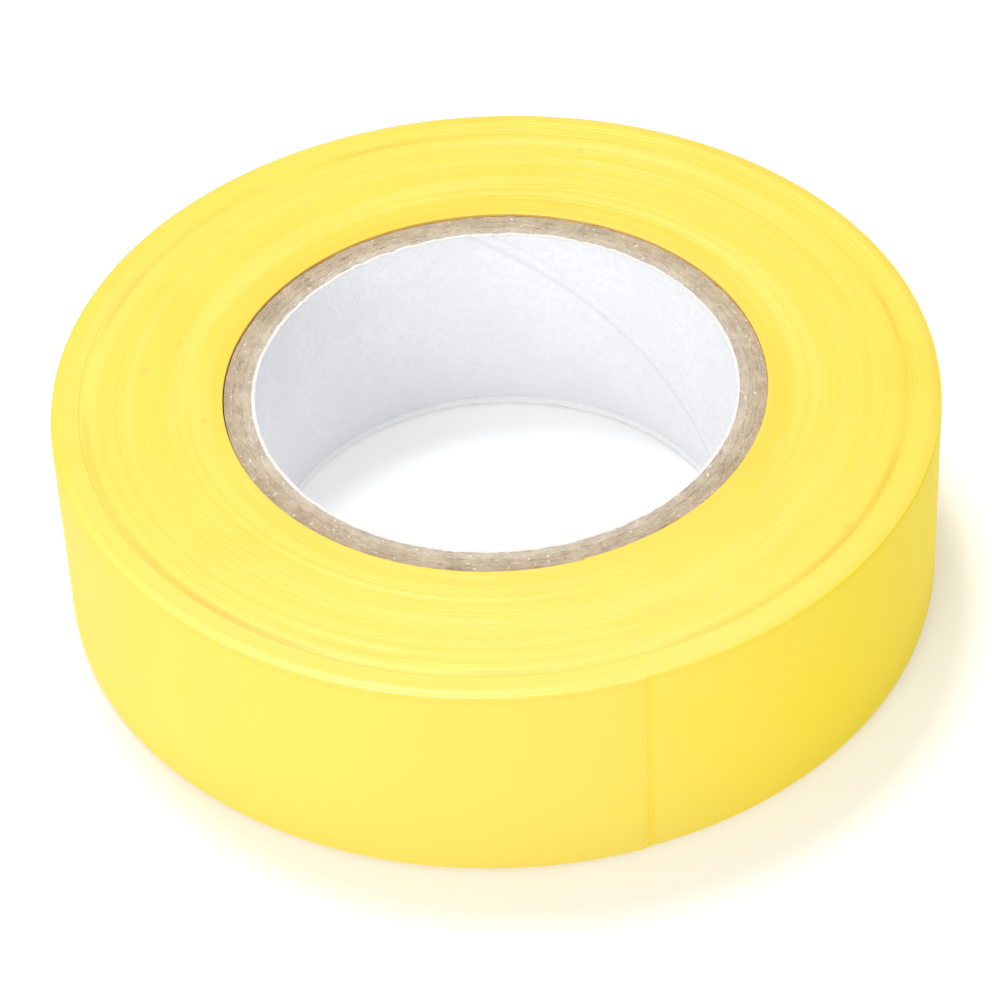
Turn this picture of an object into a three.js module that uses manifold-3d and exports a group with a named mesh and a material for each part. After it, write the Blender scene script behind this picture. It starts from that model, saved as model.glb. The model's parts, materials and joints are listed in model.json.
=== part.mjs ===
// A roll of vinyl electrical tape on a spiral-wound paper core.
// Millimetres, +Z up along the roll's axis, origin on the axis at the roll's lower face.
// The tape's free end is at the front (-Y) and a little to the right (+X). From there the strip
// runs clockwise, seen from above, and one tape thickness deeper with each turn.

import * as THREE from "three";
import { mergeVertices } from "three/addons/utils/BufferGeometryUtils.js";
import Module from "manifold-3d";

const wasm = await Module();
wasm.setup();

// Driving dimensions: the tape.
const TAPE_WIDTH = 19;
const TAPE_THICKNESS = 0.13;
const ADHESIVE_THICKNESS = 0.02;
const TURNS_PER_BAND = [20, 20, 22, 28, 17];
const OUTER_BAND_SHIFT = 0.12;

// Driving dimensions: the core, from the bore outwards.
const BORE_RADIUS = 19.64;
const CORE_WIDTH = 18.6;
const LINER_THICKNESS = 0.26;
const PLY_THICKNESS = 0.73;
const PLY_COUNT = 3;
const GLUE_LINE = 0.02;

// Driving dimensions: the seams between the strips of paper that the core is wound from.
const SEAM_WIDTH = 0.25;
const SEAM_DEGREES_PER_MM = 4.59;
const SEAM_START_DEGREES = 6.4;
const SEAM_STAGGER_DEGREES = 100;
const SEAM_STEPS = 24;
const SEAM_OVERRUN = 1;

// Driving dimensions: the free end, and the stretches in which it peels off the roll.
const FREE_END_DEGREES = -73.5;
const STRETCH_DEGREES = 10;
const STRETCH_COUNT = 9;
const STRETCH_GAP = 0.03;
const TURN_GAP = 0.01;

// Every round outline has a corner at each of these steps, counted from the free end,
// so that the turns nest flat on flat. No outline has a shorter step than the least one.
const STEP_DEGREES = 5;
const LEAST_STEP_DEGREES = 0.05;

// Derived dimensions.
const CORE_RADIUS = BORE_RADIUS + LINER_THICKNESS + PLY_COUNT * (GLUE_LINE + PLY_THICKNESS);
const CORE_BASE = (TAPE_WIDTH - CORE_WIDTH) / 2;
const BAND_TURNS = TURNS_PER_BAND.reduce((sum, turns) => sum + turns, 0);
const ROLL_TURNS = BAND_TURNS + 1;
const FILM_THICKNESS = TAPE_THICKNESS - ADHESIVE_THICKNESS;

const MATERIALS = {
  liner: { color: 0xeef0f2, roughness: 0.75, metalness: 0 },
  chipboard: { color: 0xb9a68c, roughness: 0.95, metalness: 0 },
  film: { color: 0xf7de3c, roughness: 0.35, metalness: 0 },
  adhesive: { color: 0xdcc06a, roughness: 0.25, metalness: 0 },
};

const roll = new THREE.Group();

function addPiece(name, geometry, material) {
  const mesh = new THREE.Mesh(geometry, new THREE.MeshStandardMaterial(MATERIALS[material]));
  mesh.name = name;
  roll.add(mesh);
}

// A point on a horizontal plane at a radius and at an angle behind the free end, clockwise.
function pointBehindEnd(radius, degrees) {
  const angle = THREE.MathUtils.degToRad(FREE_END_DEGREES - degrees);
  return new THREE.Vector2(radius * Math.cos(angle), radius * Math.sin(angle));
}

// The tape's outer surface after a number of turns from the core, at an angle behind the end.
function windingRadius(turns, degrees) {
  return CORE_RADIUS + TAPE_THICKNESS * (turns + 1 - degrees / 360);
}

// The angles from one to another in the steps that all outlines share.
function stepsBetween(fromDegrees, toDegrees) {
  const angles = [fromDegrees];
  let next = (Math.floor(fromDegrees / STEP_DEGREES) + 1) * STEP_DEGREES;
  while (next < toDegrees - LEAST_STEP_DEGREES) {
    angles.push(next);
    next += STEP_DEGREES;
  }
  angles.push(toDegrees);
  return angles;
}

function extrudeUp(shape, base, height) {
  const geometry = new THREE.ExtrudeGeometry(shape, { depth: height, bevelEnabled: false, steps: 1 });
  geometry.translate(0, 0, base);
  return geometry;
}

// One full turn at a radius that is a function of the angle behind the end. A spiral closes with
// a radial step, and a circle closes on its first point.
function fullTurn(radius) {
  const isCircle = radius(0) === radius(360);
  const angles = stepsBetween(0, 360);
  return (isCircle ? angles.slice(0, -1) : angles).map((a) => pointBehindEnd(radius(a), a));
}

function ring(innerRadius, outerRadius, base, height) {
  const shape = new THREE.Shape(fullTurn(outerRadius));
  shape.holes.push(new THREE.Path(fullTurn(innerRadius).reverse()));
  return extrudeUp(shape, base, height);
}

// A stretch of the outermost turn between two depths below its surface and between two angles
// behind the end, cut off square, with a small clearance at both ends.
function stretch(innerDepth, outerDepth, fromDegrees, toDegrees) {
  const surface = (degrees) => windingRadius(ROLL_TURNS, degrees);
  const clearance = THREE.MathUtils.radToDeg(STRETCH_GAP / 2 / surface(0));
  const angles = stepsBetween(fromDegrees + clearance, toDegrees - clearance);
  const outer = angles.map((a) => pointBehindEnd(surface(a) - outerDepth, a));
  const inner = angles.map((a) => pointBehindEnd(surface(a) - innerDepth, a));
  const outline = new THREE.Shape([...outer, ...inner.reverse()]);
  return extrudeUp(outline, OUTER_BAND_SHIFT, TAPE_WIDTH);
}

// A closed solid as manifold-3d holds it, and back.
function toManifold(geometry) {
  const bare = geometry.clone();
  bare.deleteAttribute("normal");
  bare.deleteAttribute("uv");
  const merged = mergeVertices(bare);
  const vertProperties = new Float32Array(merged.attributes.position.array);
  const triVerts = new Uint32Array(merged.index.array);
  return new wasm.Manifold(new wasm.Mesh({ numProp: 3, vertProperties, triVerts }));
}

function toGeometry(manifold) {
  const mesh = manifold.getMesh();
  const geometry = new THREE.BufferGeometry();
  geometry.setAttribute("position", new THREE.BufferAttribute(mesh.vertProperties, 3));
  geometry.setIndex(new THREE.BufferAttribute(mesh.triVerts, 1));
  geometry.computeVertexNormals();
  return geometry;
}

// A slanted slot through a ply, where the edges of its paper strip meet: a thin radial blade
// that turns as it rises, and overruns the ply on every side.
function seamBlade(innerRadius, outerRadius, startDegrees) {
  const halfWidth = SEAM_WIDTH / 2;
  const innerReach = innerRadius - SEAM_OVERRUN;
  const outerReach = outerRadius + SEAM_OVERRUN;
  const rise = CORE_WIDTH / SEAM_STEPS;
  // Rows of four corners, one step apart. The first is below the ply, and the last above it.
  const rows = SEAM_STEPS + 3;
  const positions = [];
  const triangles = [];
  for (let row = 0; row < rows; row += 1) {
    const height = (row - 1) * rise;
    const angle = THREE.MathUtils.degToRad(startDegrees + height * SEAM_DEGREES_PER_MM);
    const along = new THREE.Vector2(Math.cos(angle), Math.sin(angle));
    const across = new THREE.Vector2(-along.y, along.x);
    const corners = [
      [innerReach, -halfWidth],
      [outerReach, -halfWidth],
      [outerReach, halfWidth],
      [innerReach, halfWidth],
    ];
    for (const [reach, side] of corners) {
      const corner = along.clone().multiplyScalar(reach).addScaledVector(across, side);
      positions.push(corner.x, corner.y, CORE_BASE + height);
    }
  }
  for (let row = 0; row < rows - 1; row += 1) {
    for (let side = 0; side < 4; side += 1) {
      const a = row * 4 + side;
      const b = row * 4 + ((side + 1) % 4);
      triangles.push(a, b, b + 4, a, b + 4, a + 4);
    }
  }
  const top = (rows - 1) * 4;
  triangles.push(0, 2, 1, 0, 3, 2);
  triangles.push(top, top + 1, top + 2, top, top + 2, top + 3);
  const geometry = new THREE.BufferGeometry();
  geometry.setAttribute("position", new THREE.Float32BufferAttribute(positions, 3));
  geometry.setIndex(triangles);
  return geometry;
}

function corePly(innerRadius, thickness, seamDegrees) {
  const outerRadius = innerRadius + thickness;
  const tube = ring(() => innerRadius, () => outerRadius, CORE_BASE, CORE_WIDTH);
  const blade = seamBlade(innerRadius, outerRadius, seamDegrees);
  return toGeometry(toManifold(tube).subtract(toManifold(blade)));
}

// The core: a white paper liner in the bore, and grey chipboard plies around it. Each ply's seam
// is staggered from the last one's.
function addCore() {
  addPiece("core_liner", corePly(BORE_RADIUS, LINER_THICKNESS, SEAM_START_DEGREES), "liner");
  for (let ply = 1; ply <= PLY_COUNT; ply += 1) {
    const pliesAbove = PLY_COUNT - ply;
    const outerRadius = CORE_RADIUS - pliesAbove * (PLY_THICKNESS + GLUE_LINE);
    const innerRadius = outerRadius - PLY_THICKNESS;
    const seamDegrees = SEAM_START_DEGREES + ply * SEAM_STAGGER_DEGREES;
    addPiece(`core_ply_${ply}`, corePly(innerRadius, PLY_THICKNESS, seamDegrees), "chipboard");
  }
}

// The wound tape, in bands of whole turns. The first band lies on the round core, and every
// other surface is a spiral with a step of one tape thickness. The outer band stands proud.
function addBands() {
  let turns = 0;
  TURNS_PER_BAND.forEach((bandTurns, band) => {
    const turnsBelow = turns;
    turns += bandTurns;
    const turnsAbove = turns;
    const inner = (a) => (band === 0 ? CORE_RADIUS : windingRadius(turnsBelow, a)) + TURN_GAP;
    const outer = (a) => windingRadius(turnsAbove, a);
    const isOuterBand = band === TURNS_PER_BAND.length - 1;
    const base = isOuterBand ? OUTER_BAND_SHIFT : 0;
    addPiece(`tape_band_${band + 1}`, ring(inner, outer, base, TAPE_WIDTH), "film");
  });
}

// One stretch of the outermost turn: the vinyl film, and the adhesive coat on its inner face.
function addStretch(filmName, adhesiveName, fromDegrees, toDegrees) {
  const film = stretch(FILM_THICKNESS, 0, fromDegrees, toDegrees);
  const adhesiveDepth = TAPE_THICKNESS - TURN_GAP;
  const adhesive = stretch(adhesiveDepth, FILM_THICKNESS, fromDegrees, toDegrees);
  addPiece(filmName, film, "film");
  addPiece(adhesiveName, adhesive, "adhesive");
}

// The outermost turn: the stretches that peel, numbered from the free end, and the rest of it.
function addOuterTurn() {
  for (let number = 1; number <= STRETCH_COUNT; number += 1) {
    const fromDegrees = (number - 1) * STRETCH_DEGREES;
    const toDegrees = number * STRETCH_DEGREES;
    addStretch(`peel_film_${number}`, `peel_adhesive_${number}`, fromDegrees, toDegrees);
  }
  addStretch("outer_turn_film", "outer_turn_adhesive", STRETCH_COUNT * STRETCH_DEGREES, 360);
}

addCore();
addBands();
addOuterTurn();

export default roll;
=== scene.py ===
"""A roll of yellow vinyl electrical tape on a paper core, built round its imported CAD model.

Everything is in metres, with +Z up along the roll's axis. An angle "behind" the free end runs
clockwise, seen from above, the way the strip is wound from its free end towards the core.
"""

import json
import math

import bmesh
import bpy
import numpy as np
from mathutils import Matrix, Vector


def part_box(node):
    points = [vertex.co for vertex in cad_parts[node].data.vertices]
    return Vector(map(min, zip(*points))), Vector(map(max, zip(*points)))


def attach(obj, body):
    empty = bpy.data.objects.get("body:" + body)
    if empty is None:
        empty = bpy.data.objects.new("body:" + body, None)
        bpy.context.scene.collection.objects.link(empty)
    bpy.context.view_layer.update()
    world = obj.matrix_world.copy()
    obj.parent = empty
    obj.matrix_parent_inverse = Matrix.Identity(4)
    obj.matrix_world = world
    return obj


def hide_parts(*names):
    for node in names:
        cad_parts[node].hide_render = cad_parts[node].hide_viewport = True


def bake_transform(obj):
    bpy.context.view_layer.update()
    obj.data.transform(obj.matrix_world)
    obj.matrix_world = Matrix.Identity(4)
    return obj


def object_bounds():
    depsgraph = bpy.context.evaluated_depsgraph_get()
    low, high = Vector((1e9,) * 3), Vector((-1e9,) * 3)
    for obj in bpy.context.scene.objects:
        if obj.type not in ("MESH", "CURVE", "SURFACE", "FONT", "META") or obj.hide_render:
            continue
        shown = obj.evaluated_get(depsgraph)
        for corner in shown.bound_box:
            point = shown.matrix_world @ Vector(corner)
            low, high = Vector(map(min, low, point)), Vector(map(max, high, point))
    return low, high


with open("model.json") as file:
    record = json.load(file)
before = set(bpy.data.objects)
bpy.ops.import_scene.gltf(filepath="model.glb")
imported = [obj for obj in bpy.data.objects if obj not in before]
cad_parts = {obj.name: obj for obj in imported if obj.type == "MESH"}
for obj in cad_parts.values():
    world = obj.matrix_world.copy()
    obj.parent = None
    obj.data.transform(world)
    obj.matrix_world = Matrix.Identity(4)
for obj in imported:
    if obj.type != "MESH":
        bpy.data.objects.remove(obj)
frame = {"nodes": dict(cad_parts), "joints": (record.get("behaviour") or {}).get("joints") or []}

cad_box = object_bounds()

MM = 0.001
TAU = math.tau
SEED = 19


# ---------------------------------------------------------------- sizes from the frame

def radii(node):
    """The smallest and largest distance of a CAD node's corners from the roll's axis."""
    corners = np.array([v.co for v in frame["nodes"][node].data.vertices])
    distance = np.hypot(corners[:, 0], corners[:, 1])
    return distance.min(), distance.max()


HINGES = {j["name"]: j for j in frame["joints"]}
STRETCHES = len(HINGES)


def hinge_azimuth(number):
    """The angle of a hinge round the roll's axis."""
    x, y, _ = HINGES[f"peel_bend_{number}"]["pos_m"]
    return math.atan2(y, x)


STRETCH_ANGLE = (hinge_azimuth(1) - hinge_azimuth(2)) % TAU
FREE_END = hinge_azimuth(1) + STRETCH_ANGLE

PLIES = ["core_ply_1", "core_ply_2", "core_ply_3"]
BORE_R, LINER_R = radii("core_liner")
CORE_R = radii(PLIES[-1])[1]
ROLL_R = radii("peel_film_1")[1]
CORE_BASE, CORE_TOP = (corner.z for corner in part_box("core_liner"))
PACK_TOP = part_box("tape_band_1")[1].z
OUTER_BASE, OUTER_TOP = (corner.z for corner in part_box("outer_turn_film"))

# The tape, as the CAD model has it. Its adhesive coat is drawn a little thinner than the 0.02 mm
# it has, to stay clear of the turn below.
TAPE_THICKNESS = 0.13 * MM
FILM_THICKNESS = 0.11 * MM
ADHESIVE_THICKNESS = 0.018 * MM
TURNS_PER_BAND = (20, 20, 22, 28, 17)
ROLL_TURNS = sum(TURNS_PER_BAND) + 1

# The slanted seams of the core's paper strips, as the CAD model has them.
SEAM_RADIANS_PER_METRE = math.radians(4.59) / MM
SEAM_START = math.radians(6.4)
SEAM_STAGGER = math.radians(100)

# How finely round things are cut, and from which angle an edge is shaded as a sharp one.
STEPS_PER_TURN = 240
STEP = TAU / STEPS_PER_TURN
CORE_STEPS = 960
SHARP_ANGLE = math.radians(50)


# ---------------------------------------------------------------- meshes

class Shell:
    """Gathers vertices and faces, and makes a mesh object of them. Each face belongs to the zone
    that is set while it is added."""

    def __init__(self):
        self.blocks = []
        self.faces = []
        self.zones = []
        self.zone = 0
        self.count = 0

    def add(self, x, y, z):
        """Adds points and returns their numbers, in the same shape."""
        x, y, z = np.broadcast_arrays(x, y, z)
        self.blocks.append(np.stack([x, y, z], axis=-1).reshape(-1, 3))
        numbers = np.arange(self.count, self.count + x.size).reshape(x.shape)
        self.count += x.size
        return numbers

    def quads(self, a, b, c, d):
        corners = np.stack([a, b, c, d], axis=-1).reshape(-1, 4).tolist()
        self.faces.extend(corners)
        self.zones.extend([self.zone] * len(corners))

    def face(self, *corners):
        self.faces.append([int(c) for c in corners])
        self.zones.append(self.zone)

    def skin(self, grid, close_rows=False, close_columns=False):
        """Quads over a grid of vertex numbers."""
        if close_rows:
            grid = np.vstack([grid, grid[:1]])
        if close_columns:
            grid = np.hstack([grid, grid[:, :1]])
        self.quads(grid[:-1, :-1], grid[:-1, 1:], grid[1:, 1:], grid[1:, :-1])

    def build(self, name, *materials):
        """Makes the object. A face's zone is the number of its material."""
        mesh = bpy.data.meshes.new(name)
        mesh.from_pydata(np.concatenate(self.blocks).tolist(), [], self.faces)
        work = bmesh.new()
        work.from_mesh(mesh)
        bmesh.ops.recalc_face_normals(work, faces=work.faces)
        work.to_mesh(mesh)
        work.free()
        mesh.shade_smooth()
        mesh.set_sharp_from_angle(angle=SHARP_ANGLE)
        for material in materials:
            mesh.materials.append(material)
        mesh.polygons.foreach_set("material_index", self.zones)
        piece = bpy.data.objects.new(name, mesh)
        bpy.context.scene.collection.objects.link(piece)
        return piece


def sample(lattice, rows, columns):
    """Smooth noise at places on a grid of random values, seamless along its columns."""
    rows, columns = np.broadcast_arrays(rows, columns)
    row_floor = np.clip(np.floor(rows).astype(int), 0, lattice.shape[0] - 2)
    column_floor = np.floor(columns).astype(int)
    u = rows - row_floor
    v = columns - column_floor
    u = u * u * (3 - 2 * u)
    v = v * v * (3 - 2 * v)
    left = column_floor % lattice.shape[1]
    right = (column_floor + 1) % lattice.shape[1]
    low = lattice[row_floor, left] * (1 - v) + lattice[row_floor, right] * v
    high = lattice[row_floor + 1, left] * (1 - v) + lattice[row_floor + 1, right] * v
    return low * (1 - u) + high * u


def winding_radius(turns, behind):
    """The strip's outer surface after a number of turns from the core."""
    return CORE_R + TAPE_THICKNESS * (turns + 1 - behind / TAU)


def place(radius, behind, z):
    """The coordinates of a point at an angle behind the free end."""
    angle = FREE_END - behind
    return radius * np.cos(angle), radius * np.sin(angle), z


# ---------------------------------------------------------------- the wound tape's shape

# How far in from the wall and from the side faces a rim is eased, and how far it gives way
# along the axis and inwards.
RIM_DEPTH = 0.55 * MM
RIM_REACH = 0.45 * MM
RIM_DROP = 0.22 * MM
RIM_INSET = 0.10 * MM


def ease_rim(radius, z):
    """Rounds the roll's two outer rims, where handling presses the outer turns' edges down."""
    radius, z = np.broadcast_arrays(radius, z)
    near = np.exp(-(((ROLL_R - radius) / RIM_DEPTH) ** 2))
    from_top = np.exp(-(((OUTER_TOP - z) / RIM_REACH) ** 2))
    from_base = np.exp(-(((z - OUTER_BASE) / RIM_REACH) ** 2))
    eased_radius = radius - RIM_INSET * near * (from_top + from_base)
    eased_z = z - RIM_DROP * near * (from_top - from_base)
    return eased_radius, eased_z


# The strip's wander as it was wound, quick and slow, with a few turns of random values to spare.
random = np.random.default_rng(SEED)
WANDER_CELLS_PER_TURN = 5
SPARE_TURNS = 4
WANDER = random.uniform(-1, 1, (2, WANDER_CELLS_PER_TURN * (ROLL_TURNS + SPARE_TURNS)))
DRIFT = random.uniform(-1, 1, (2, ROLL_TURNS + SPARE_TURNS))
WANDER_HEIGHT = 0.006 * MM
DRIFT_HEIGHT = 0.012 * MM
DRIFT_TURNS = 3.5


def strip_wander(turns_from_core):
    """How far the strip's edge stands out of the side face, as it wandered while being wound."""
    quick = sample(WANDER, 0.0, turns_from_core * WANDER_CELLS_PER_TURN)
    slow = sample(DRIFT, 0.0, turns_from_core / DRIFT_TURNS)
    return WANDER_HEIGHT * quick + DRIFT_HEIGHT * slow


# The outer band stands proud of the others on the upper side face, with a step down to them.
STEP_TURNS = sum(TURNS_PER_BAND[:-1])
STEP_RADIUS = radii("tape_band_5")[0]
STEP_EASE = 0.9 * MM

# How far the crevice inside the step has opened, by twelfths of a turn behind the free end. It
# has two equal rows, because sample() blends between rows.
CREVICE_OPENING = np.array([(0.6, 0.25, 0.8, 0.25, 0.1, 0.0, 0.0, 0.0, 0.0, 0.15, 0.8, 1.0)] * 2)
CREVICE_DEPTH = 0.24 * MM
CREVICE_REACH = 0.7 * MM

# The dents of handling, in cells across a side face and round it, with none at its two edges.
DENT_CELLS = (14, 31)
DENT_LATTICE = random.uniform(-1, 1, DENT_CELLS)
DENT_LATTICE[[0, -1]] = 0
DENT_DEPTH = 0.035 * MM


def dent_sink(radius, behind):
    """How deep the broad shallow dents of handling are in a side face."""
    across = (radius - CORE_R) / (ROLL_R - CORE_R) * (DENT_LATTICE.shape[0] - 1)
    dent = sample(DENT_LATTICE, across, behind / TAU * DENT_LATTICE.shape[1])
    return DENT_DEPTH * np.clip(dent, 0, 1) ** 2


def step_sink(radius, behind, is_proud):
    """How deep a side face lies beside the step to the proud outer turns. Where the crevice has
    opened, the turns inside the step sink. Elsewhere the proud turns slope down to them."""
    opening = sample(CREVICE_OPENING, 0.0, behind / TAU * CREVICE_OPENING.shape[1])
    from_step = radius - winding_radius(STEP_TURNS, behind % TAU)
    if is_proud:
        return (OUTER_TOP - PACK_TOP) * (1 - opening) * np.exp(-((from_step / STEP_EASE) ** 2))
    return CREVICE_DEPTH * opening * np.exp(-((from_step / CREVICE_REACH) ** 2))


# The edge of one turn on a side face, from its outer side inwards: the share of the turn's
# thickness, and how deep it lies. The first point is the groove between two turns.
GROOVE_DEPTH = 0.005 * MM
RIBBON_PROFILE = ((0.0, GROOVE_DEPTH), (0.2, 0.0), (0.8, 0.0))

# Where the outer wall's rows of vertices lie, counted from each rim.
WALL_ROWS = (0.12 * MM, 0.3 * MM, 0.55 * MM, 0.9 * MM, 1.5 * MM)

# A band's zones: its side faces with the strip's cut faces, its outer wall and its inner wall.
SIDE_ZONE, OUTER_ZONE, INNER_ZONE = range(3)


def wound_band(name, turns_below, turns_above, base, top, inner_material):
    """A band of whole turns: every turn's edge on both side faces, and the walls between them."""
    shell = Shell()
    steps = STEPS_PER_TURN * (turns_above - turns_below)
    behind = np.arange(steps + STEPS_PER_TURN + 1) * STEP
    outer_edge = winding_radius(turns_above, behind)
    wander = strip_wander(turns_above + 1 - behind / TAU)

    def side_face(height, outwards):
        """Adds one side face, and returns its outermost row and its grid of vertex numbers."""
        rows = []
        for share, sink in RIBBON_PROFILE:
            count = len(behind) if share == 0 else steps + 1
            radius = outer_edge[:count] - share * TAPE_THICKNESS
            sunk = sink + dent_sink(radius, behind[:count])
            if outwards > 0:
                sunk = sunk + step_sink(radius, behind[:count], height > PACK_TOP)
            z = height + wander[:count] - outwards * sunk
            radius, z = ease_rim(radius, z)
            rows.append(shell.add(*place(radius, behind[:count], z)))
        ribbon = np.array([row[: steps + 1] for row in rows] + [rows[0][STEPS_PER_TURN:]])
        shell.skin(ribbon)
        return rows[0], ribbon

    top_edge, top_ribbon = side_face(top, 1)
    base_edge, base_ribbon = side_face(base, -1)

    wall_z = [top - d for d in WALL_ROWS] + [base + d for d in reversed(WALL_ROWS)]
    first_turn = slice(0, STEPS_PER_TURN + 1)
    wall = [top_edge[first_turn]]
    for z in wall_z:
        radius, eased = ease_rim(outer_edge[first_turn], z)
        wall.append(shell.add(*place(radius, behind[first_turn], eased)))
    wall.append(base_edge[first_turn])
    wall = np.array(wall)
    shell.zone = OUTER_ZONE
    shell.skin(wall)
    shell.zone = INNER_ZONE
    shell.skin(np.array([top_edge[steps:], base_edge[steps:]]))
    shell.zone = SIDE_ZONE

    # The strip's two cut faces: where the next turn out joins on, and where this band begins.
    shell.face(*top_ribbon[:, 0], wall[1, -1], wall[1, 0])
    shell.quads(wall[1:-2, 0], wall[1:-2, -1], wall[2:-1, -1], wall[2:-1, 0])
    shell.face(*base_ribbon[:, 0], wall[-2, -1], wall[-2, 0])
    shell.face(*top_ribbon[:, -1], *base_ribbon[::-1, -1])
    return shell.build(name, VINYL_SIDES, VINYL_FACE, inner_material)


# ---------------------------------------------------------------- the outermost turn

# Where the strip's rows of vertices lie near its two edges, in millimetres from the edge, and how
# many there are between.
STRIP_EDGE_ROWS = (0.0, 0.06, 0.14, 0.25, 0.4, 0.6, 0.9, 1.4, 2.2)
STRIP_MIDDLE_ROWS = 16
STRIP_STEP = STEP / 2

# How far behind its end a stretch still has something of that end's shape.
END_FADE = math.radians(2)


def strip_heights(base, top):
    """Heights across the tape's width, closer together towards its two edges."""
    from_edge = np.array(STRIP_EDGE_ROWS) * MM
    middle = np.linspace(base + from_edge[-1], top - from_edge[-1], STRIP_MIDDLE_ROWS)
    return np.concatenate([base + from_edge[:-1], middle, (top - from_edge[:-1])[::-1]])


def strip(name, material, depths, start, end, end_shape=None, swell=None):
    """A stretch of the outermost turn, between two depths below its outer surface. end_shape is
    how far its first end is moved along the winding, by height, and swell is how far its outer
    surface is moved outwards, by the angle behind the free end."""
    shell = Shell()
    count = max(2, round((end - start) / STRIP_STEP) + 1)
    behind = np.linspace(start, end, count)
    end_fade = np.clip(1 - (behind - start) / END_FADE, 0, 1)
    wander = strip_wander(ROLL_TURNS + 1 - behind / TAU)
    heights = strip_heights(OUTER_BASE, OUTER_TOP)
    outer_radius = winding_radius(ROLL_TURNS, behind) - depths[0]
    if swell is not None:
        outer_radius = outer_radius + swell(behind)
    inner_radius = winding_radius(ROLL_TURNS, behind) - depths[1]
    loop = []
    for side_radius, rows in ((outer_radius, heights), (inner_radius, heights[::-1])):
        for z in rows:
            shift = 0.0 if end_shape is None else end_shape(z)
            radius, eased = ease_rim(side_radius, z + wander)
            loop.append(shell.add(*place(radius, behind + shift * end_fade, eased)))
    loop = np.array(loop)
    shell.skin(loop, close_rows=True)
    rows = len(heights)
    inner = loop[rows:][::-1]
    for column in (0, -1):
        outer_side, inner_side = loop[:rows, column], inner[:, column]
        shell.quads(outer_side[:-1], outer_side[1:], inner_side[1:], inner_side[:-1])
    return shell.build(name, material)


# ---------------------------------------------------------------- materials

# How much a surface mirrors: most of them, the tape's side faces, and its outer face.
PLAIN_SPECULAR = 0.25
SIDES_SPECULAR = 0.5
FACE_SPECULAR = 0.12


class Nodes:
    """A material's node tree, with short calls for the nodes that are used here."""

    def __init__(self, name):
        self.material = bpy.data.materials.new(name)
        self.material.use_nodes = True
        self.tree = self.material.node_tree
        self.shader = self.tree.nodes["Principled BSDF"]
        self.set(Specular_IOR_Level=PLAIN_SPECULAR)

    def set(self, **values):
        """Feeds the shader's sockets, whose names are written with underscores."""
        for socket, value in values.items():
            self.feed(self.shader, socket.replace("_", " "), value)

    def feed(self, node, socket, value):
        """Links another node's output to a socket, or gives the socket a plain value."""
        target = node.inputs[socket]
        if isinstance(value, bpy.types.NodeSocket):
            self.tree.links.new(value, target)
        else:
            target.default_value = value

    def add(self, kind, inputs=None, **settings):
        node = self.tree.nodes.new(kind)
        for key, value in settings.items():
            setattr(node, key, value)
        for socket, value in (inputs or {}).items():
            self.feed(node, socket, value)
        return node

    def math(self, operation, a, b=0.0):
        return self.add("ShaderNodeMath", {0: a, 1: b}, operation=operation).outputs[0]

    def position(self):
        return self.add("ShaderNodeTexCoord").outputs["Object"]

    def radius(self):
        """The distance from the roll's axis."""
        x, y, _ = self.split(self.position())
        squares = self.math("ADD", self.math("MULTIPLY", x, x), self.math("MULTIPLY", y, y))
        return self.math("SQRT", squares)

    def polar(self, around, across, up):
        """Object coordinates turned into ones that run round the axis: a pattern in them is
        stretched along circles. Each argument is the pattern's fineness in that direction."""
        x, y, z = self.split(self.position())
        radius = self.radius()
        cosine = self.math("DIVIDE", x, radius)
        sine = self.math("DIVIDE", y, radius)
        offset = self.math("MULTIPLY", z, up)
        return self.join(
            self.math("MULTIPLY", cosine, around),
            self.math("MULTIPLY", sine, around),
            self.math("ADD", self.math("MULTIPLY", radius, across), offset),
        )

    def split(self, vector):
        return self.add("ShaderNodeSeparateXYZ", {0: vector}).outputs[:]

    def join(self, x, y, z):
        return self.add("ShaderNodeCombineXYZ", {0: x, 1: y, 2: z}).outputs[0]

    def noise(self, vector, scale, detail=2.0, roughness=0.5):
        """Cloudy noise, 0.5 on average. scale is its number of cells per unit of the vector."""
        inputs = {"Vector": vector, "Scale": scale, "Detail": detail, "Roughness": roughness}
        return self.add("ShaderNodeTexNoise", inputs).outputs["Fac"]

    def spots(self, vector, scale):
        """The distance to the nearest of many scattered points, in cells."""
        inputs = {"Vector": vector, "Scale": scale}
        return self.add("ShaderNodeTexVoronoi", inputs).outputs["Distance"]

    def fit(self, value, low, high, to_low=0.0, to_high=1.0):
        """Carries the range from low to high over to another, softly, and stops at its ends."""
        inputs = {0: value, 1: low, 2: high, 3: to_low, 4: to_high}
        return self.add("ShaderNodeMapRange", inputs, interpolation_type="SMOOTHSTEP").outputs[0]

    def blend(self, factor, first, second):
        """The first colour where the factor is 0, and the second where it is 1."""
        node = self.add("ShaderNodeMix", {0: factor}, data_type="RGBA")
        self.feed(node, 6, first)
        self.feed(node, 7, second)
        return node.outputs[2]

    def bump(self, height, distance, normal=None):
        inputs = {"Strength": 1.0, "Distance": distance, "Height": height}
        if normal is not None:
            inputs["Normal"] = normal
        return self.add("ShaderNodeBump", inputs).outputs["Normal"]


YELLOW = (0.92, 0.70, 0.075, 1)
# Painted sheen for the lit side of the outer wall.
YELLOW_PAINTED_SHEEN = (0.88, 0.70, 0.122, 1)
YELLOW_CLEAR = (0.95, 0.755, 0.050, 1)
YELLOW_DEEP = (0.90, 0.60, 0.030, 1)
YELLOW_PALE = (0.93, 0.77, 0.15, 1)
# Painted glints along the rings of the side faces.
YELLOW_GLINT = (0.95, 0.84, 0.36, 1)
# Painted shade for the crevice inside the step.
YELLOW_STEP_SHADE = (0.85, 0.50, 0.03, 1)
DIRT = (0.60, 0.40, 0.08, 1)

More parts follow.
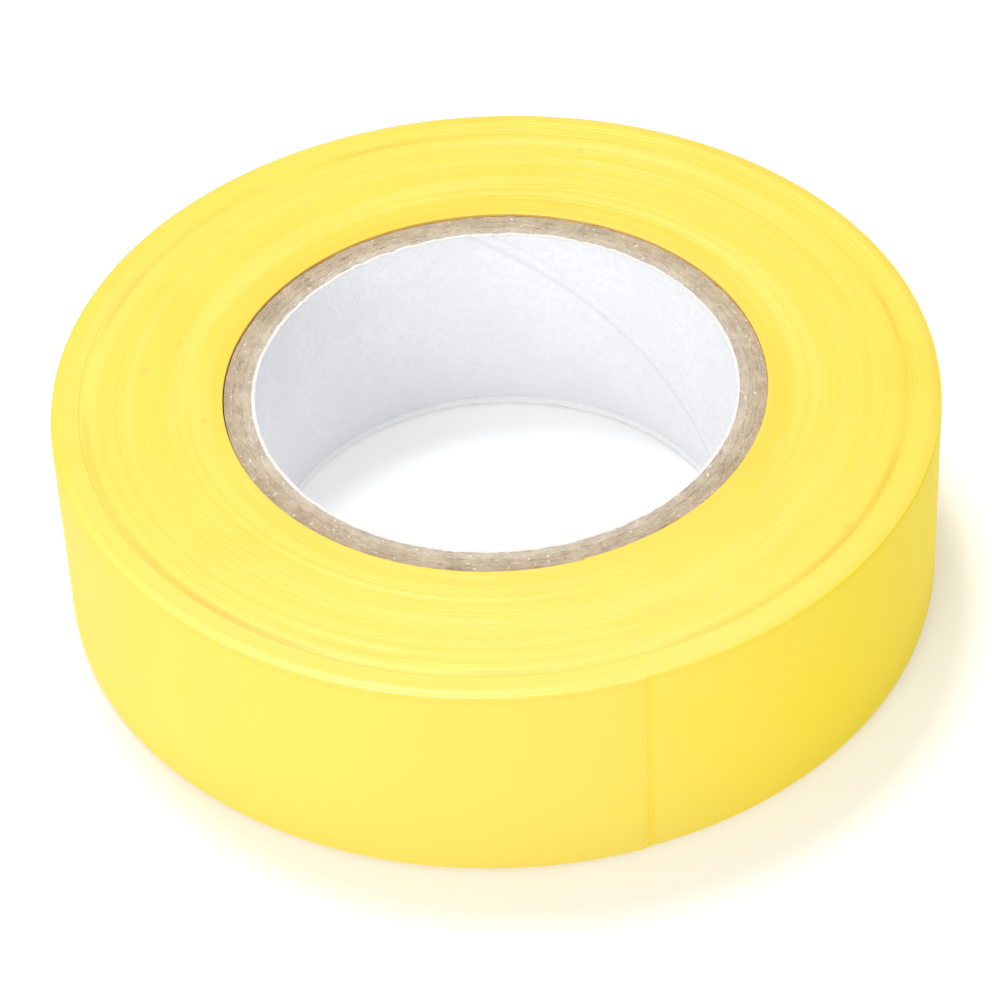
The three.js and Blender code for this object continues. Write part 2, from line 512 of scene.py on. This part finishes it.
# How far from the core its deeper yellow reaches, and half the width of the ring of painted
# shade that lies just inside the step.
NEAR_CORE = 3.5 * MM
STEP_SHADE_REACH = 0.45 * MM
RING_RELIEF = 0.006 * MM


def vinyl_sides():
    """The tape's cut edges on the side faces."""
    nodes = Nodes("vinyl_cut_edges")
    radius = nodes.radius()
    _, y, _ = nodes.split(nodes.position())

    # Deeper yellow in clouds and towards the core, and painted sheen that pales it towards the
    # front.
    cloud = nodes.noise(nodes.position(), 90, 3.0, 0.55)
    tone = nodes.blend(nodes.fit(cloud, 0.48, 0.75, 0.0, 0.45), YELLOW, YELLOW_DEEP)
    near_core = nodes.fit(radius, CORE_R, CORE_R + NEAR_CORE, 0.55, 0.0)
    tone = nodes.blend(near_core, tone, YELLOW_DEEP)
    tone = nodes.blend(nodes.fit(y, -ROLL_R, 0.0, 0.5, 0.0), tone, YELLOW_PALE)

    # A few broad pale bands, and the fine rings of the single turns.
    bands = nodes.noise(nodes.polar(0.6, 430, 0), 1.0)
    tone = nodes.blend(nodes.fit(bands, 0.4, 0.75, 0.0, 0.7), tone, YELLOW_PALE)
    rings = nodes.noise(nodes.polar(0.35, 5200, 0), 1.0, 3.0, 0.6)
    tone = nodes.blend(nodes.fit(rings, 0.5, 0.8, 0.0, 0.13), tone, YELLOW_PALE)

    # Short pale streaks along the rings, in some places only: painted glints of tilted turn edges.
    glint_streaks = nodes.fit(nodes.noise(nodes.polar(2.6, 7800, 0), 1.0, 2.0, 0.6), 0.6, 0.7)
    glint_patches = nodes.fit(nodes.noise(nodes.position(), 42), 0.54, 0.68, 0.0, 0.6)
    tone = nodes.blend(nodes.math("MULTIPLY", glint_streaks, glint_patches), tone, YELLOW_GLINT)

    # Painted shade in the crevice beside the step to the proud outer turns.
    from_step = nodes.math("ABSOLUTE", nodes.math("SUBTRACT", radius, STEP_RADIUS - STEP_SHADE_REACH))
    step_shade_patches = nodes.fit(nodes.noise(nodes.position(), 60, 1.0), 0.45, 0.66, 0.0, 0.55)
    step_shade = nodes.math("MULTIPLY", nodes.fit(from_step, 0.0, STEP_SHADE_REACH, 1.0, 0.0), step_shade_patches)
    tone = nodes.blend(step_shade, tone, YELLOW_STEP_SHADE)

    # Rare specks of dirt.
    speck = nodes.fit(nodes.spots(nodes.position(), 300), 0.04, 0.13, 0.3, 0.0)
    rare = nodes.fit(nodes.noise(nodes.position(), 140), 0.62, 0.68)
    nodes.set(Base_Color=nodes.blend(nodes.math("MULTIPLY", speck, rare), tone, DIRT))
    nodes.set(Roughness=nodes.fit(rings, 0.3, 0.7, 0.32, 0.48))
    nodes.set(Specular_IOR_Level=SIDES_SPECULAR, Normal=nodes.bump(rings, RING_RELIEF))
    return nodes.material


# Where along X the painted sheen on the outer wall begins to fade and where it has gone, and how
# much both of these places wander.
SHEEN_FADES = 0.1 * ROLL_R
SHEEN_GONE = 0.8 * ROLL_R
SHEEN_WANDER = 0.4 * ROLL_R
GRAIN_RELIEF = 0.002 * MM


def vinyl_face():
    """The tape's smooth outer face: soft satin vinyl with a faint calendered grain. All but the
    roll's right side, towards +X, is paler with a painted sheen."""
    nodes = Nodes("vinyl_face")
    cloud = nodes.noise(nodes.position(), 60)
    x, _, _ = nodes.split(nodes.position())
    # Painted sheen, fading out towards +X with an uneven edge.
    uneven = nodes.math("MULTIPLY", nodes.math("SUBTRACT", cloud, 0.5), SHEEN_WANDER)
    painted_sheen = nodes.fit(nodes.math("ADD", x, uneven), SHEEN_FADES, SHEEN_GONE, 1.0, 0.0)
    nodes.set(Base_Color=nodes.blend(painted_sheen, YELLOW_CLEAR, YELLOW_PAINTED_SHEEN))
    grain = nodes.noise(nodes.position(), 2600)
    nodes.set(Roughness=nodes.fit(cloud, 0.3, 0.7, 0.5, 0.6))
    nodes.set(Specular_IOR_Level=FACE_SPECULAR, Normal=nodes.bump(grain, GRAIN_RELIEF))
    return nodes.material


FLOW_RELIEF = 0.004 * MM
FLOW_ROUGHENING = 0.14


def adhesive(name, thin, thick, roughness):
    """The rubber adhesive on the tape's inner face, slightly wet and uneven."""
    nodes = Nodes(name)
    flow = nodes.noise(nodes.position(), 260)
    nodes.set(Base_Color=nodes.blend(nodes.fit(flow, 0.35, 0.7), thin, thick))
    nodes.set(Roughness=nodes.fit(flow, 0.3, 0.7, roughness, roughness + FLOW_ROUGHENING))
    nodes.set(Normal=nodes.bump(flow, FLOW_RELIEF))
    return nodes.material


PALE_FIBRES = (0.68, 0.59, 0.45, 1)
WHITE_FLECKS = (0.90, 0.84, 0.70, 1)
DARK_PITS = (0.26, 0.18, 0.12, 1)
BOARD_ROUGHNESS = 0.92
BOARD_RELIEF = 0.05 * MM


def chipboard(name, dark, light):
    """Recycled grey-brown board, cut across: fibres that run round the core, pale and dark."""
    nodes = Nodes(name)
    fibres = nodes.noise(nodes.polar(16, 7600, 7600), 1.0, 4.0, 0.65)
    flecks = nodes.noise(nodes.polar(52, 4300, 4300), 1.0, 2.0, 0.6)
    cloud = nodes.noise(nodes.position(), 420, 3.0, 0.6)
    tone = nodes.blend(nodes.fit(cloud, 0.3, 0.7), dark, light)
    tone = nodes.blend(nodes.fit(fibres, 0.4, 0.75, 0.0, 0.55), tone, PALE_FIBRES)
    tone = nodes.blend(nodes.fit(flecks, 0.64, 0.7, 0.0, 0.9), tone, WHITE_FLECKS)
    pits = nodes.fit(flecks, 0.27, 0.35, 0.6, 0.0)
    nodes.set(Base_Color=nodes.blend(pits, tone, DARK_PITS), Roughness=BOARD_ROUGHNESS)
    nodes.set(Normal=nodes.bump(fibres, BOARD_RELIEF))
    return nodes.material


# How many times higher the pulp's lumps are than the fibres.
PULP_RELIEF = 9
PAPER_ROUGHNESS = 0.62


def paper(name, clean, shaded, relief):
    """Matt paper with a faint fibre texture. Returns the nodes and the paper's tone."""
    nodes = Nodes(name)
    cloud = nodes.noise(nodes.position(), 160, 3.0, 0.6)
    fibre = nodes.noise(nodes.polar(60, 3200, 3200), 1.0, 4.0, 0.6)
    tone = nodes.blend(nodes.fit(cloud, 0.35, 0.7, 0.0, 0.6), clean, shaded)
    pulp = nodes.noise(nodes.position(), 1800, 4.0, 0.6)
    # The pulp's lumps darken the paper in spots towards its shaded tone: painted shade of their
    # relief.
    tone = nodes.blend(nodes.fit(pulp, 0.6, 0.35, 0.0, 0.7), tone, shaded)
    grain = nodes.bump(fibre, relief)
    nodes.set(Normal=nodes.bump(pulp, PULP_RELIEF * relief, grain))
    nodes.set(Base_Color=tone, Roughness=PAPER_ROUGHNESS)
    return nodes, tone


# The painted shade beside the liner's seam, in sines of the angle from the seam, and the folded
# lip.
SEAM_SHADE_OFFSET = 0.055
SEAM_SHADE_HALF_WIDTH = 0.045
LIP_HEIGHT = 0.55 * MM
# How far below the liner's upper edge the grey of the cut paper begins, and is full.
CUT_START = 0.2 * MM
CUT_FULL = 0.05 * MM
LINER_CLEAN = (0.92, 0.925, 0.94, 1)
LINER_SHADED = (0.84, 0.85, 0.87, 1)
# Painted shade for the liner's lower part.
LINER_FOOT_SHADE = (0.80, 0.805, 0.82, 1)
# Painted shade beside the liner's seam.
LINER_SEAM_SHADE = (0.72, 0.735, 0.76, 1)
# Painted highlight for the liner's folded lip.
LINER_LIT_LIP = (0.95, 0.955, 0.96, 1)
LINER_CUT = (0.80, 0.775, 0.745, 1)


def liner_paper():
    """The white liner: painted shade greys it towards its foot and lies beside its slanted seam,
    and its lip is painted lighter.
    """
    nodes, tone = paper("liner_paper", LINER_CLEAN, LINER_SHADED, 0.012 * MM)
    x, y, z = nodes.split(nodes.position())
    # Painted shade, greying the liner towards its foot.
    tone = nodes.blend(nodes.fit(z, CORE_BASE, CORE_TOP, 0.45, 0.0), tone, LINER_FOOT_SHADE)
    # Painted shade in a band on one side of the raised overlap along the seam.
    rise = nodes.math("MULTIPLY", nodes.math("SUBTRACT", z, CORE_BASE), SEAM_RADIANS_PER_METRE)
    seam = nodes.math("ADD", rise, SEAM_START)
    angle = nodes.math("SUBTRACT", nodes.math("ARCTAN2", y, x), seam)
    this_side = nodes.math("GREATER_THAN", nodes.math("COSINE", angle), 0.0)
    beside = nodes.math("SUBTRACT", nodes.math("SINE", angle), SEAM_SHADE_OFFSET)
    seam_shade = nodes.fit(nodes.math("ABSOLUTE", beside), 0.0, SEAM_SHADE_HALF_WIDTH, 0.5, 0.0)
    tone = nodes.blend(nodes.math("MULTIPLY", seam_shade, this_side), tone, LINER_SEAM_SHADE)
    # The folded lip is painted lighter than clean paper: a painted highlight where its ledge
    # catches the light.
    tone = nodes.blend(nodes.math("LESS_THAN", z, CORE_BASE + LIP_HEIGHT), tone, LINER_LIT_LIP)
    cut = nodes.fit(z, CORE_TOP - CUT_START, CORE_TOP - CUT_FULL, 0.0, 0.75)
    nodes.set(Base_Color=nodes.blend(cut, tone, LINER_CUT))
    return nodes.material


VINYL_SIDES = vinyl_sides()
VINYL_FACE = vinyl_face()
ADHESIVE = adhesive("adhesive_coat", (0.91, 0.68, 0.050, 1), (0.92, 0.70, 0.065, 1), 0.34)
AGED_ADHESIVE = adhesive("aged_adhesive", (0.84, 0.50, 0.11, 1), (0.92, 0.62, 0.14, 1), 0.4)
CHIPBOARD = [
    chipboard("board_inner", (0.50, 0.41, 0.32, 1), (0.65, 0.56, 0.44, 1)),
    chipboard("board_middle", (0.43, 0.34, 0.24, 1), (0.58, 0.48, 0.34, 1)),
    chipboard("board_outer", (0.42, 0.33, 0.22, 1), (0.56, 0.45, 0.32, 1)),
]
LINER = liner_paper()
FIBRE = paper("paper_fibres", (0.84, 0.78, 0.63, 1), (0.68, 0.59, 0.44, 1), 0.004 * MM)[0].material


# ---------------------------------------------------------------- the core

def core_tube(name, material, profile, relief, steps=CORE_STEPS, twist=0.0):
    """A ring swept round the axis. profile is a closed list of (radius, z), and relief returns
    for every profile point and azimuth how far it moves outwards and up. twist turns the lines
    of the mesh as they rise, so that they run along a slanted seam."""
    shell = Shell()
    radius, z = (np.array(values)[:, None] for values in zip(*profile))
    azimuth = np.arange(steps) * TAU / steps + (z - CORE_BASE) * twist
    out, up = relief(radius, z, azimuth)
    radius, z = radius + out, z + up
    grid = shell.add(radius * np.cos(azimuth), radius * np.sin(azimuth), z)
    shell.skin(grid, close_rows=True, close_columns=True)
    return shell.build(name, material)


def from_seam(azimuth, z, seam_start):
    """The angle from a ply's slanted seam, between minus and plus half a turn."""
    seam = seam_start + (z - CORE_BASE) * SEAM_RADIANS_PER_METRE
    return (azimuth - seam + math.pi) % TAU - math.pi


CUT_ROWS = 12
CUT_ROUGHNESS = 0.035 * MM
# How many cells of random values there are round a cut edge, coarse and fine.
CUT_CELLS = (90, 360)
SEAM_NOTCH = 0.12 * MM
SEAM_HALF_ANGLE = math.radians(0.5)


def board_ply(number, node):
    """One chipboard ply: torn fibres on both cut edges, and a nick where its strip's edges meet."""
    inner, outer = radii(node)
    across = np.linspace(inner, outer, CUT_ROWS)
    profile = [(r, CORE_TOP) for r in across] + [(r, CORE_BASE) for r in across[::-1]]
    lattices = [random.uniform(-1, 1, (CUT_ROWS, cells)) for cells in CUT_CELLS]
    seam_start = SEAM_START + number * SEAM_STAGGER

    def relief(radius, z, azimuth):
        share = (radius - inner) / (outer - inner) * (CUT_ROWS - 1)
        rough = sum(
            sample(lattice, share, azimuth / TAU * lattice.shape[1]) for lattice in lattices
        )
        nick = np.exp(-((from_seam(azimuth, z, seam_start) / SEAM_HALF_ANGLE) ** 2))
        side = np.where(z > (CORE_BASE + CORE_TOP) / 2, 1, -1)
        up = side * (CUT_ROUGHNESS * (rough - 1) - SEAM_NOTCH * nick)
        return np.zeros_like(up), up

    return core_tube(f"chipboard_ply_{number}", CHIPBOARD[number - 1], profile, relief)


LINER_ROWS = 128
LINER_BACK_ROWS = 24
LINER_STEPS = 600

# The overlap along the seam rises at its edge and falls back over a longer slope.
OVERLAP_HALF_WIDTH = 0.55 * MM
OVERLAP_EDGE = 0.25 * MM
OVERLAP_SLOPE = 1.1 * MM
OVERLAP_HEIGHT = 0.10 * MM

# The torn edges: how far they stray, over which share of the height, and in how many cells round.
TORN_EDGE = 0.10 * MM
TORN_SHARE = 0.04
TORN_CELLS = (150, 420)
LIP_STEP = 0.2 * MM
LIP_SLOPE = 0.12 * MM
PAPER_WAVES = 0.035 * MM
WAVE_CELLS = (9, 46)


def liner():
    """The white paper in the bore: one raised slanted overlap, torn edges, a folded lower lip."""
    heights = np.linspace(CORE_BASE, CORE_TOP, LINER_ROWS)
    back_heights = np.linspace(CORE_TOP, CORE_BASE, LINER_BACK_ROWS)
    profile = [(BORE_R, z) for z in heights] + [(LINER_R, z) for z in back_heights]
    waves = random.uniform(-1, 1, WAVE_CELLS)
    tears = [random.uniform(-1, 1, (2, cells)) for cells in TORN_CELLS]
    slant = SEAM_RADIANS_PER_METRE * BORE_R
    across_seam = BORE_R / math.hypot(1, slant)

    def relief(radius, z, azimuth):
        is_bore = radius < (BORE_R + LINER_R) / 2
        distance = from_seam(azimuth, z, SEAM_START) * across_seam
        edge = np.clip((OVERLAP_HALF_WIDTH + distance) / OVERLAP_EDGE + 0.5, 0, 1)
        slope = np.clip((OVERLAP_HALF_WIDTH - distance) / OVERLAP_SLOPE + 0.5, 0, 1)
        overlap = edge * slope
        overlap = overlap * overlap * (3 - 2 * overlap)
        share = (z - CORE_BASE) / (CORE_TOP - CORE_BASE)
        wave = sample(waves, share * (WAVE_CELLS[0] - 1), azimuth / TAU * WAVE_CELLS[1])
        lip = np.clip((LIP_HEIGHT - (z - CORE_BASE)) / LIP_SLOPE + 0.5, 0, 1)
        inwards = OVERLAP_HEIGHT * overlap + PAPER_WAVES * wave + LIP_STEP * lip
        tear = sum(sample(lattice, 0.0, azimuth / TAU * lattice.shape[1]) for lattice in tears)
        near_top = np.clip((share - (1 - TORN_SHARE)) / TORN_SHARE, 0, 1)
        near_base = np.clip((TORN_SHARE - share) / TORN_SHARE, 0, 1)
        up = TORN_EDGE * (tear * near_top + tear * near_base) * 0.5
        return np.where(is_bore, -inwards, 0.0), up

    twist = SEAM_RADIANS_PER_METRE
    return core_tube("bore_liner_paper", LINER, profile, relief, LINER_STEPS, twist)


# ---------------------------------------------------------------- loose paper fibres

FIBRE_THICKNESS = 0.022 * MM
FIBRE_TAPER = 0.7
FIBRE_POINTS = 6
FIBRE_CURL = 0.25
# How high a fibre's middle lies above the face, where it isn't lifted.
FIBRE_BED = 0.3 * FIBRE_THICKNESS
# No fibre stands up higher, so that those underneath stay clear of the floor.
LIFT_LIMIT = 0.14 * MM
# A direction that no fibre runs along.
FIBRE_SIDEWAYS = (0.13, 0.21, 0.97)
FIBRES_PER_FACE = 300
FUZZ_PER_RIM = 150


def add_fibre(shell, points, thickness):
    """A thin square tube along some points, thinner towards its two ends."""
    points = np.array(points)
    ahead = np.gradient(points, axis=0)
    ahead /= np.linalg.norm(ahead, axis=1)[:, None]
    side = np.cross(ahead, FIBRE_SIDEWAYS)
    side /= np.linalg.norm(side, axis=1)[:, None]
    over = np.cross(side, ahead)
    share = np.linspace(-1, 1, len(points))[:, None]
    half = thickness / 2 * (1 - FIBRE_TAPER * share ** 4)
    ring = np.stack([points + half * v for v in (side, over, -side, -over)], axis=1)
    grid = shell.add(ring[..., 0], ring[..., 1], ring[..., 2])
    shell.skin(grid, close_columns=True)
    shell.face(*grid[0])
    shell.face(*grid[-1][::-1])


def lie_fibre(shell, radius, azimuth, face, outwards, length, slant, lift):
    """A fibre that lies on a cut face, turned by slant from the circle, with one end lifted."""
    share = np.linspace(0, 1, FIBRE_POINTS)
    lift = min(lift, LIFT_LIMIT)
    curl = random.uniform(-FIBRE_CURL, FIBRE_CURL)
    along = length * share * np.cos(slant + curl * share)
    across = length * share * np.sin(slant + curl * share)
    distance = radius + across
    angle = azimuth + along / radius
    z = face + outwards * (FIBRE_BED + lift * share ** 2)
    points = np.stack([distance * np.cos(angle), distance * np.sin(angle), z], axis=-1)
    add_fibre(shell, points, FIBRE_THICKNESS * random.uniform(0.7, 1.4))


def scatter_fibres(shell, count, inner, outer, lengths, slant_spread, mean_lift):
    """Fibres on both cut faces of the core, between two radii. lengths is the shortest and the
    longest in millimetres, and mean_lift is in millimetres too."""
    for face, outwards in ((CORE_TOP, 1), (CORE_BASE, -1)):
        for _ in range(count):
            lie_fibre(
                shell,
                radius=random.uniform(inner, outer),
                azimuth=random.uniform(0, TAU),
                face=face,
                outwards=outwards,
                length=random.uniform(*lengths) * MM,
                slant=random.normal(0, slant_spread),
                lift=random.exponential(mean_lift) * MM,
            )


# The long hair runs from outside the core's edge to inside the bore, with a bow, and curls
# round at its end.
HAIR_AZIMUTH = math.radians(68)
HAIR_POINTS = 14
HAIR_THICKNESS = 2.4 * FIBRE_THICKNESS
HAIR_START = CORE_R + 0.3 * MM
HAIR_RUN = CORE_R - BORE_R + 0.35 * MM
HAIR_LIFT = 0.25 * MM
HAIR_ARCH = 0.12 * MM
HAIR_BOW = 0.012
HAIR_BOW_ANGLE = 2.2
HAIR_CURL = 0.05


def hair_points():
    """Points along the long hair, across the core's upper face."""
    share = np.linspace(0, 1, HAIR_POINTS)
    radius = HAIR_START - HAIR_RUN * share
    azimuth = HAIR_AZIMUTH + HAIR_BOW * np.sin(HAIR_BOW_ANGLE * share) + HAIR_CURL * share ** 6
    z = CORE_TOP + HAIR_LIFT + HAIR_ARCH * np.sin(math.pi * share)
    return np.stack([radius * np.cos(azimuth), radius * np.sin(azimuth), z], axis=-1)


def board_fibres():
    """Short pale fibres torn up from the core's two cut faces, and one long hair across it."""
    shell = Shell()
    inner, outer = LINER_R + 0.1 * MM, CORE_R - 0.15 * MM
    scatter_fibres(shell, FIBRES_PER_FACE, inner, outer, (0.25, 1.1), 0.35, 0.04)
    add_fibre(shell, hair_points(), HAIR_THICKNESS)
    return shell.build("core_edge_fibres", FIBRE)


def liner_fuzz():
    """The white liner's torn rims: very short fibres that stand up from the cut."""
    shell = Shell()
    scatter_fibres(shell, FUZZ_PER_RIM, BORE_R, LINER_R, (0.1, 0.4), 0.5, 0.06)
    return shell.build("liner_rim_fuzz", LINER)


# ---------------------------------------------------------------- building the roll

def settle(piece, body, slot, *nodes):
    """Puts a piece on its body, in place of the CAD nodes it stands for. Its slot is not used."""
    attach(piece, body)
    if nodes:
        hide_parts(*nodes)


def build_core():
    """The liner, the plies, and the loose fibres on their cut edges."""
    settle(liner(), "roll", "liner_paper", "core_liner")
    for number, node in enumerate(PLIES, start=1):
        settle(board_ply(number, node), "roll", "chipboard", node)
    settle(board_fibres(), "roll", "chipboard")
    settle(liner_fuzz(), "roll", "liner_paper")


def build_bands():
    """The bands of whole turns. Only the first one's inner wall shows its adhesive, at the core."""
    turns = 0
    for number, band_turns in enumerate(TURNS_PER_BAND, start=1):
        node = f"tape_band_{number}"
        base, top = (corner.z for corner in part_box(node))
        turns_below = turns
        turns += band_turns
        inner_material = AGED_ADHESIVE if number == 1 else VINYL_SIDES
        band = wound_band(f"wound_turns_{number}", turns_below, turns, base, top, inner_material)
        settle(band, "roll", "vinyl_film", node)


FILM_DEPTHS = (0.0, FILM_THICKNESS)
ADHESIVE_DEPTHS = (FILM_THICKNESS, FILM_THICKNESS + ADHESIVE_THICKNESS)

# The bead of adhesive that shows along the free end, and the blob at its upper corner.
OOZE_ANGLE = 0.45 * MM / ROLL_R
OOZE_SWELL = 0.035 * MM
OOZE_WANDER = 0.08 * MM / ROLL_R
BLOB_WIDTH = 0.25 * MM / ROLL_R
BLOB_HEIGHT = 0.5 * MM

# The unevenness of the bead's edge and of the film's cut, in a row of random values for each, and
# how many of them lie across the tape.
END_LATTICE = random.uniform(-1, 1, (2, 16))
OOZE_CELLS = 12
CUT_EDGE_CELLS = 9
CUT_WANDER = 0.02 * MM / ROLL_R


def across_tape(z, cells):
    """A height on the tape in cells from its lower edge."""
    return (z - OUTER_BASE) / (OUTER_TOP - OUTER_BASE) * cells


def ooze_edge(z):
    """How far behind its usual place the bead's edge lies at a height."""
    wander = OOZE_WANDER * sample(END_LATTICE, 0.0, across_tape(z, OOZE_CELLS))
    blob = BLOB_WIDTH * math.exp(-(((OUTER_TOP - z) / BLOB_HEIGHT) ** 2))
    return wander - blob


def ooze_swell(behind):
    """A rounded bead over the bare stretch beyond the film's end, and nothing under the film."""
    share = np.clip(-behind / OOZE_ANGLE, 0, 1)
    return np.where(share > 0, OOZE_SWELL * (1 - share ** 2), 0.0)


# How far the film's cut end is pressed down, and over how much of the winding.
END_PRESS = 0.075 * MM
END_PRESS_ANGLE = 0.45 * MM / ROLL_R


def pressed_end(behind):
    """The film's cut end, pressed down and thinned by the knife."""
    return -END_PRESS * np.clip(1 - behind / END_PRESS_ANGLE, 0, 1) ** 2


def cut_edge(z):
    """How far behind its usual place the film's cut lies at a height."""
    return CUT_WANDER * sample(END_LATTICE, 1.0, across_tape(z, CUT_EDGE_CELLS))


def build_outer_turn():
    """The rest of the outermost turn, which doesn't peel."""
    start = STRETCHES * STRETCH_ANGLE
    film = strip("outer_turn_vinyl", VINYL_FACE, FILM_DEPTHS, start, TAU)
    settle(film, "roll", "vinyl_film", "outer_turn_film")
    coat = strip("outer_turn_coat", ADHESIVE, ADHESIVE_DEPTHS, start, TAU)
    settle(coat, "roll", "adhesive", "outer_turn_adhesive")


def bend_with_joint(piece):
    """Bakes a stretch's placement into its mesh."""
    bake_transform(piece)


def build_peel():
    """The stretches that peel, from the free end backwards, each with its film and its coat. The
    first one has the cut end and the bead of adhesive."""
    for number in range(1, STRETCHES + 1):
        start = (number - 1) * STRETCH_ANGLE
        end = number * STRETCH_ANGLE
        film_name, coat_name = f"peel_vinyl_{number}", f"peel_coat_{number}"
        if number == 1:
            film = strip(film_name, VINYL_FACE, FILM_DEPTHS, start, end, cut_edge, pressed_end)
            bare = start - OOZE_ANGLE
            coat = strip(coat_name, ADHESIVE, ADHESIVE_DEPTHS, bare, end, ooze_edge, ooze_swell)
        else:
            film = strip(film_name, VINYL_FACE, FILM_DEPTHS, start, end)
            coat = strip(coat_name, ADHESIVE, ADHESIVE_DEPTHS, start, end)
        for piece, slot, node in (
            (film, "vinyl_film", f"peel_film_{number}"),
            (coat, "adhesive", f"peel_adhesive_{number}"),
        ):
            bend_with_joint(piece)
            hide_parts(node)


build_core()
build_bands()
build_outer_turn()
build_peel()


# ---------------------------------------------------------------- floor, light and camera

WHITE = (1, 1, 1, 1)
FLOOR_SIZE = 1.6
FLOOR_GLOW = 0.19
FLOOR_ROUGHNESS = 0.9
FLOOR_GAP = 0.02 * MM
FLOOR_LIGHT = (0.93, 0.93, 0.93, 1)
FLOOR_DARK = (0.90, 0.90, 0.90, 1)


def build_floor():
    """A sheet of white paper under the roll, faintly mottled."""
    nodes = Nodes("floor_paper")
    mottle = nodes.noise(nodes.position(), 14)
    nodes.set(Base_Color=nodes.blend(mottle, FLOOR_LIGHT, FLOOR_DARK), Roughness=FLOOR_ROUGHNESS)
    nodes.set(Emission_Color=WHITE, Emission_Strength=FLOOR_GLOW)
    bpy.ops.mesh.primitive_plane_add(size=FLOOR_SIZE, location=(0, 0, cad_box[0].z - FLOOR_GAP))
    floor = bpy.context.object
    floor.name = "floor"
    floor.data.materials.append(nodes.material)


# Each round lamp's place, diameter and power. All of them point at the origin.
LAMPS = {
    "key": ((-0.36, -0.64, 0.30), 0.5, 2.3),
    "overhead": ((-0.10, 0.22, 0.72), 0.2, 2.8),
}
SKY_STRENGTH = 0.62


def area_light(name, location, size, power):
    """A round white lamp that points at the origin."""
    light = bpy.data.lights.new(name, "AREA")
    light.shape = "DISK"
    light.size = size
    light.energy = power
    lamp = bpy.data.objects.new(name, light)
    lamp.location = location
    lamp.rotation_mode = "QUATERNION"
    lamp.rotation_quaternion = (-Vector(location)).to_track_quat("-Z", "Y")
    bpy.context.scene.collection.objects.link(lamp)


def build_light():
    """A white sky and the lamps."""
    world = bpy.data.worlds.new("studio")
    world.use_nodes = True
    background = world.node_tree.nodes["Background"]
    background.inputs["Color"].default_value = WHITE
    background.inputs["Strength"].default_value = SKY_STRENGTH
    bpy.context.scene.world = world
    for name, (location, size, power) in LAMPS.items():
        area_light(name, location, size, power)
    bpy.context.scene.view_settings.view_transform = "Standard"


# The camera. Its distance and shifts are in units of the roll's radius, its lens is in
# millimetres, and the start of its range is in metres.
CAMERA_ELEVATION = math.radians(42.20)
CAMERA_ROLL = math.radians(2.732)
CAMERA_DISTANCE = 9.930
CAMERA_SHIFT_RIGHT = -0.0102
CAMERA_SHIFT_UP = 0.1371
CAMERA_LENS = 155.1
CAMERA_CLIP_START = 0.01


def build_camera():
    """The camera, in front of the roll and above it, and turned a little about its own axis."""
    sine, cosine = math.sin(CAMERA_ELEVATION), math.cos(CAMERA_ELEVATION)
    right = Vector((1, 0, 0))
    up = Vector((0, sine, cosine))
    ahead = Vector((0, cosine, -sine))
    place_at = CAMERA_SHIFT_RIGHT * right + CAMERA_SHIFT_UP * up - CAMERA_DISTANCE * ahead
    rolled_right = math.cos(CAMERA_ROLL) * right - math.sin(CAMERA_ROLL) * up
    rolled_up = math.sin(CAMERA_ROLL) * right + math.cos(CAMERA_ROLL) * up
    camera = bpy.data.objects.new("camera", bpy.data.cameras.new("camera"))
    camera.data.lens = CAMERA_LENS
    camera.data.clip_start = CAMERA_CLIP_START
    turn = Matrix((rolled_right, rolled_up, -ahead)).transposed()
    camera.matrix_world = Matrix.Translation(place_at * ROLL_R) @ turn.to_4x4()
    bpy.context.scene.collection.objects.link(camera)
    bpy.context.scene.camera = camera


build_floor()
build_light()
build_camera()
